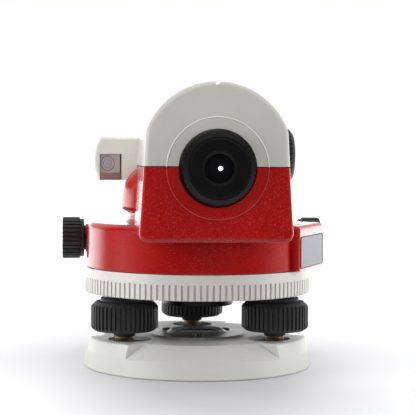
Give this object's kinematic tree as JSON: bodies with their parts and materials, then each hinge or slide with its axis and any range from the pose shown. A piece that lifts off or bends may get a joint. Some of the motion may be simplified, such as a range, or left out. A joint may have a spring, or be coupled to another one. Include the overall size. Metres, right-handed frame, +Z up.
{
  "type": "automatic level",
  "caption": "Surveyor's automatic level: telescope with compensator, focusing knob and circular level, on a turning head, a graduated ring and a footscrew base.",
  "frame": {"origin": "centre of the tripod thread at the underside of the base plate", "axes": "+Z up along the turning axis, +Y along the line of sight from the eyepiece to the objective, +X to the right of an observer at the eyepiece"},
  "size_m": [0.1414, 0.1915, 0.1442],
  "materials": {
    "base_enamel": "light grey stove enamel on cast aluminium",
    "spring_steel": "ground spring steel",
    "screw_steel": "plated steel screw",
    "black_enamel": "black enamel on cast aluminium",
    "footscrew_brass": "turned brass",
    "bush_bronze": "turned bronze",
    "knob_plastic": "black moulded plastic",
    "circle_enamel": "light grey semi-gloss enamel",
    "housing_enamel": "bright red gloss enamel on cast aluminium",
    "cover_enamel": "light grey gloss enamel on cast aluminium",
    "seal_rubber": "black rubber gasket",
    "label_aluminium": "bare satin aluminium",
    "spindle_steel": "ground steel",
    "black_anodised": "black anodised aluminium",
    "eyepiece_plastic": "black moulded plastic",
    "optical_glass": "coated optical glass",
    "ribbon_steel": "thin spring steel",
    "level_enamel": "pale grey-green enamel",
    "holder_brass": "darkened brass",
    "vial_glass": "glass with pale green spirit"
  },
  "bodies": {
    "base": {"base_plate": "base_enamel", "spring_plate": "spring_steel", "spring_plate_screws": "screw_steel", "ball_retainers": "black_anodised"},
    "footscrew_left": {"footscrew_left_spindle": "footscrew_brass", "footscrew_left_knob": "knob_plastic"},
    "footscrew_right": {"footscrew_right_spindle": "footscrew_brass", "footscrew_right_knob": "knob_plastic"},
    "footscrew_front": {"footscrew_front_spindle": "footscrew_brass", "footscrew_front_knob": "knob_plastic"},
    "tribrach": {"tribrach_body": "black_enamel", "footscrew_bushes": "bush_bronze", "axis_bush": "bush_bronze", "circle_friction_washer": "spring_steel", "circle_retaining_ring": "black_anodised", "clutch_washer": "spring_steel", "clutch_nut": "screw_steel"},
    "horizontal_circle": {"horizontal_circle": "circle_enamel"},
    "clutch_wheel": {"worm_wheel": "bush_bronze"},
    "head": {"main_housing": "housing_enamel", "top_cover": "cover_enamel", "housing_seal": "seal_rubber", "cover_screws": "screw_steel", "label_plate": "label_aluminium", "axis_spindle": "spindle_steel", "spindle_screws": "screw_steel", "drive_bushes": "bush_bronze", "objective_cell": "black_anodised", "objective_crown": "optical_glass", "objective_flint": "optical_glass", "objective_retaining_ring": "black_anodised", "focusing_guide": "black_anodised", "focusing_bush": "bush_bronze", "compensator_frame": "black_anodised", "fixed_prisms": "optical_glass", "eyepiece_sleeve": "black_anodised", "reticle_screws": "screw_steel", "reticle_mount": "black_anodised", "reticle_glass": "optical_glass", "level_bracket": "level_enamel", "level_vial_holder": "holder_brass", "level_vial": "vial_glass", "level_prism": "optical_glass", "level_adjusting_screws": "screw_steel"},
    "horizontal_drive": {"drive_worm": "spindle_steel", "drive_knob_left": "knob_plastic", "drive_knob_right": "knob_plastic"},
    "pendulum": {"pendulum_frame": "footscrew_brass", "pendulum_prism": "optical_glass", "suspension_ribbons": "ribbon_steel"},
    "focusing_knob": {"focusing_knob": "knob_plastic", "focusing_pinion": "spindle_steel"},
    "focusing_carriage": {"focusing_cell": "footscrew_brass", "focusing_lens": "optical_glass"},
    "eyepiece_cell": {"eyepiece_barrel": "black_anodised", "eye_lens": "optical_glass", "field_lens": "optical_glass"},
    "dioptre_ring": {"dioptre_ring": "eyepiece_plastic"}
  },
  "joints": [
    {"name": "footscrew_left_turn", "type": "hinge", "parent": "base", "child": "footscrew_left", "pos_m": [-0.03947, -0.02055, 0.0102], "axis": [0, 0, 1], "range_deg": [-1080, 1080]},
    {"name": "footscrew_right_turn", "type": "hinge", "parent": "base", "child": "footscrew_right", "pos_m": [0.03753, -0.02391, 0.0102], "axis": [0, 0, 1], "range_deg": [-1080, 1080]},
    {"name": "footscrew_front_turn", "type": "hinge", "parent": "base", "child": "footscrew_front", "pos_m": [0.00194, 0.04446, 0.0102], "axis": [0, 0, 1], "range_deg": [-1080, 1080]},
    {"name": "head_lift", "type": "slide", "parent": "base", "child": "tribrach", "axis": [0, 0, 1], "range_m": [-0.003, 0.003]},
    {"name": "circle_turn", "type": "hinge", "parent": "tribrach", "child": "horizontal_circle", "pos_m": [0, 0, 0.0495], "axis": [0, 0, 1], "continuous": true},
    {"name": "coarse_turn", "type": "hinge", "parent": "tribrach", "child": "clutch_wheel", "pos_m": [0, 0, 0.065], "axis": [0, 0, 1], "continuous": true},
    {"name": "fine_turn", "type": "hinge", "parent": "clutch_wheel", "child": "head", "pos_m": [0, 0, 0.065], "axis": [0, 0, 1], "continuous": true},
    {"name": "drive_turn", "type": "hinge", "parent": "head", "child": "horizontal_drive", "pos_m": [0, 0.03, 0.065], "axis": [1, 0, 0], "continuous": true},
    {"name": "pendulum_swing", "type": "hinge", "parent": "head", "child": "pendulum", "pos_m": [0, -0.038, 0.128], "axis": [1, 0, 0], "range_deg": [-0.25, 0.25]},
    {"name": "focusing_turn", "type": "hinge", "parent": "head", "child": "focusing_knob", "pos_m": [0.0444, 0.004, 0.11], "axis": [1, 0, 0], "range_deg": [-190, 190]},
    {"name": "focusing_slide", "type": "slide", "parent": "head", "child": "focusing_carriage", "axis": [0, 1, 0], "range_m": [-0.00994, 0.00994]},
    {"name": "eyepiece_slide", "type": "slide", "parent": "head", "child": "eyepiece_cell", "axis": [0, 1, 0], "range_m": [-0.003, 0.003]},
    {"name": "dioptre_turn", "type": "hinge", "parent": "eyepiece_cell", "child": "dioptre_ring", "pos_m": [0, -0.09, 0.1038], "axis": [0, 1, 0], "range_deg": [-240, 240]}
  ],
  "couplings": [
    {"joint": "footscrew_left_turn", "follows": "head_lift", "rad_per_m": -6283.2},
    {"joint": "footscrew_right_turn", "follows": "head_lift", "rad_per_m": -6283.2},
    {"joint": "footscrew_front_turn", "follows": "head_lift", "rad_per_m": -6283.2},
    {"joint": "drive_turn", "follows": "fine_turn", "ratio": -60},
    {"joint": "focusing_turn", "follows": "focusing_slide", "rad_per_m": 333.33},
    {"joint": "dioptre_turn", "follows": "eyepiece_slide", "rad_per_m": 1396.3}
  ]
}
